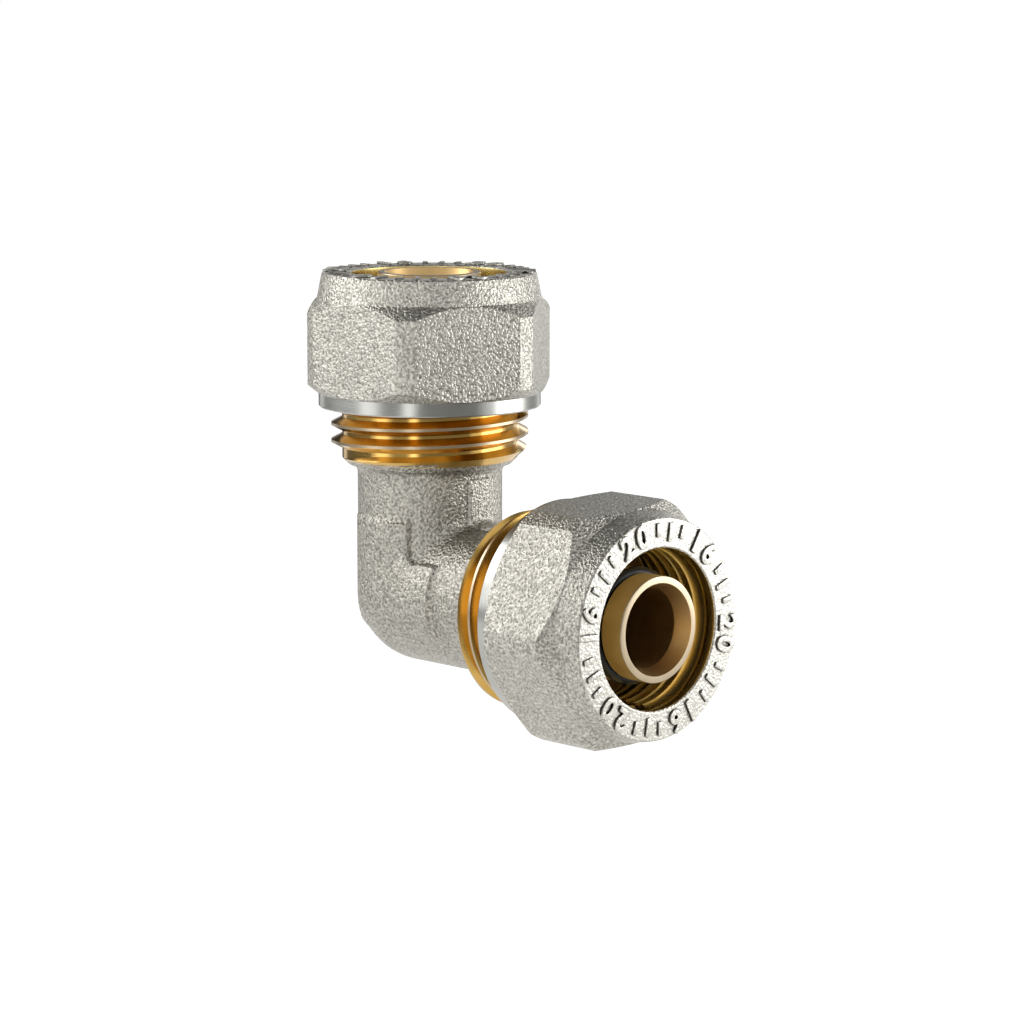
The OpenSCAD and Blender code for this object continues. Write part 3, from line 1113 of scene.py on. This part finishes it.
# %% Drill the waterway
def drill(side):
    """A drill with the cone of the nipple's nose at its top."""
    bm = spun([
        (0, -DRILL_PAST - DRILL_POINT), (BORE_R, -DRILL_PAST), (BORE_R, REACH - BORE_CONE),
        (BORE_MOUTH_R, REACH), (BORE_MOUTH_R, REACH + 2), (0, REACH + 2),
    ], closed=False, steps=96)
    if side:
        bmesh.ops.transform(bm, matrix=TO_SIDE_ARM, verts=bm.verts)
    mesh = bpy.data.meshes.new("drill")
    bm.to_mesh(mesh)
    bm.free()
    tool = bpy.data.objects.new("drill", mesh)
    scene.collection.objects.link(tool)
    return tool


def drilled(bm):
    """The body with both drills taken out of it, as a new bmesh."""
    mesh = bpy.data.meshes.new("undrilled")
    bm.to_mesh(mesh)
    bm.free()
    blank = bpy.data.objects.new("undrilled", mesh)
    scene.collection.objects.link(blank)
    tools = [drill(False), drill(True)]
    for tool in tools:
        hole = blank.modifiers.new("hole", "BOOLEAN")
        hole.operation = "DIFFERENCE"
        hole.solver = "EXACT"
        hole.use_self = False
        hole.object = tool
    bpy.context.view_layer.update()
    evaluated = blank.evaluated_get(bpy.context.evaluated_depsgraph_get())
    result = bpy.data.meshes.new_from_object(evaluated)
    out = bmesh.new()
    out.from_mesh(result)
    for thing in [blank, *tools]:
        bpy.data.objects.remove(thing)
    bpy.data.meshes.remove(result)
    return out


body_bm = drilled(body_bm)
print("body vertices once drilled", len(body_bm.verts))

# %% [markdown]
# The threads go on as ridges that are sunk a little into the barrels, one on each arm. At the foot of the
# barrel a chamfer cuts them off at a slant, and their crests keep the plating of the blank.

# %% Add the threads
UPRIGHT_THREAD_TURN = -120
SIDE_THREAD_TURN = 60
THREAD_START = 14.35
THREAD_TURNS = 5.1


def body_ridge(turn, side):
    """The thread of one arm, turned so that it starts at the angle, with its foot cut to the chamfer."""
    bm = ridge(ROOT_R - 0.06, CREST_R, THREAD_START, THREAD_TURNS, 0.12)
    for vert in bm.verts:
        radius = math.hypot(vert.co.x, vert.co.y) / MM
        most = ROOT_R + vert.co.z / MM - CHAMFER_TOP - 0.02
        if radius > most:
            vert.co.x *= most / radius
            vert.co.y *= most / radius
    bmesh.ops.rotate(
        bm, verts=bm.verts, cent=ORIGIN, matrix=Matrix.Rotation(math.radians(turn), 3, "Z"))
    if side:
        bmesh.ops.transform(bm, matrix=TO_SIDE_ARM, verts=bm.verts)
    return bm


join(body_bm, body_ridge(UPRIGHT_THREAD_TURN, False))
join(body_bm, body_ridge(SIDE_THREAD_TURN, True))
print("body vertices with the threads", len(body_bm.verts))

# %% [markdown]
# The body carries several finishes, told apart by the place of each face: plating on the forging, bare
# brass on what is turned, and plating again on the crests.


# %% Finish the body
def body_zone(centre, normal):
    """Which finish a face of the body has: 0 forging, 1, 2 thread, 3, 4 nipple, 5, 6 crest, 7, 8 dull."""
    for side, (height, across) in enumerate(((centre.z, centre.x), (centre.x, centre.z))):
        radius = math.hypot(across, centre.y)
        if radius < BORE_R + 0.01 or (radius < BORE_MOUTH_R + 0.01 and height > REACH - BORE_CONE):
            if height > -DRILL_PAST - DRILL_POINT - 0.01:
                return 3 + side
        if height > REACH - 0.2 and radius < NOSE_R + 0.01:
            return 5 + side
        if height > CHAMFER_TOP - 0.02 and radius > ROOT_R - 0.4:
            return 5 + side if radius > CREST_R - 0.07 else 1 + side
        if height > PIPE_STOP + 0.1 and radius > GROOVE_R - 0.1:
            return 7 + side
        if height > CHAMFER_TOP:
            return 3 + side
    return 0


def cone_rim(edge):
    """True for the edge between the waterway and the cone in either nose."""
    return all(
        abs(max(v.co.x, v.co.z) / MM - REACH + BORE_CONE) < 0.02
        and abs(math.hypot(min(v.co.x, v.co.z), v.co.y) / MM - BORE_R) < 0.05
        for v in edge.verts)


piece(
    "elbow_body", body_bm, "elbow", ["elbow_body"],
    [forging_skin, thread_brass[False], thread_brass[True], nipple_brass[False], nipple_brass[True],
     crest_metal[False], crest_metal[True], dull_brass[False], dull_brass[True]],
    body_zone, rim=cone_rim)

# %% [markdown]
# ## Seals
# Two O-rings sit in the grooves of each nipple, and a washer lies at the bottom of each socket, where it
# keeps the metal in the pipe's wall away from the brass.

# %% Model the seals and washers
O_RING_R = 0.64
O_RING_OUTER_R = 6.05


def make_o_ring(name, groove, side):
    """One O-ring: a small circle spun round the nipple."""
    outline = arc((O_RING_OUTER_R - O_RING_R, groove + GROOVE_W / 2), O_RING_R, 0, 360, 24)[:-1]
    bm = spun(outline)
    return piece(name, bm, "elbow", [name], [rubber], side=side)


def make_washer(name, side):
    """One washer at the pipe stop, a hair smaller than its socket."""
    inner, outer = SHOULDER_R + 0.05, SOCKET_R - 0.05
    bm = spun([
        (inner, PIPE_STOP - WASHER + 0.05), (outer, PIPE_STOP - WASHER + 0.05),
        (outer, PIPE_STOP), (inner, PIPE_STOP),
    ])
    soften(bm, 0.08)
    return piece(name, bm, "elbow", [name], [plastic], side=side)


for arm, side in (("upright", False), ("side", True)):
    make_o_ring(arm + "_front_o_ring", FRONT_GROOVE, side)
    make_o_ring(arm + "_rear_o_ring", REAR_GROOVE, side)
    make_washer(arm + "_insulating_washer", side)
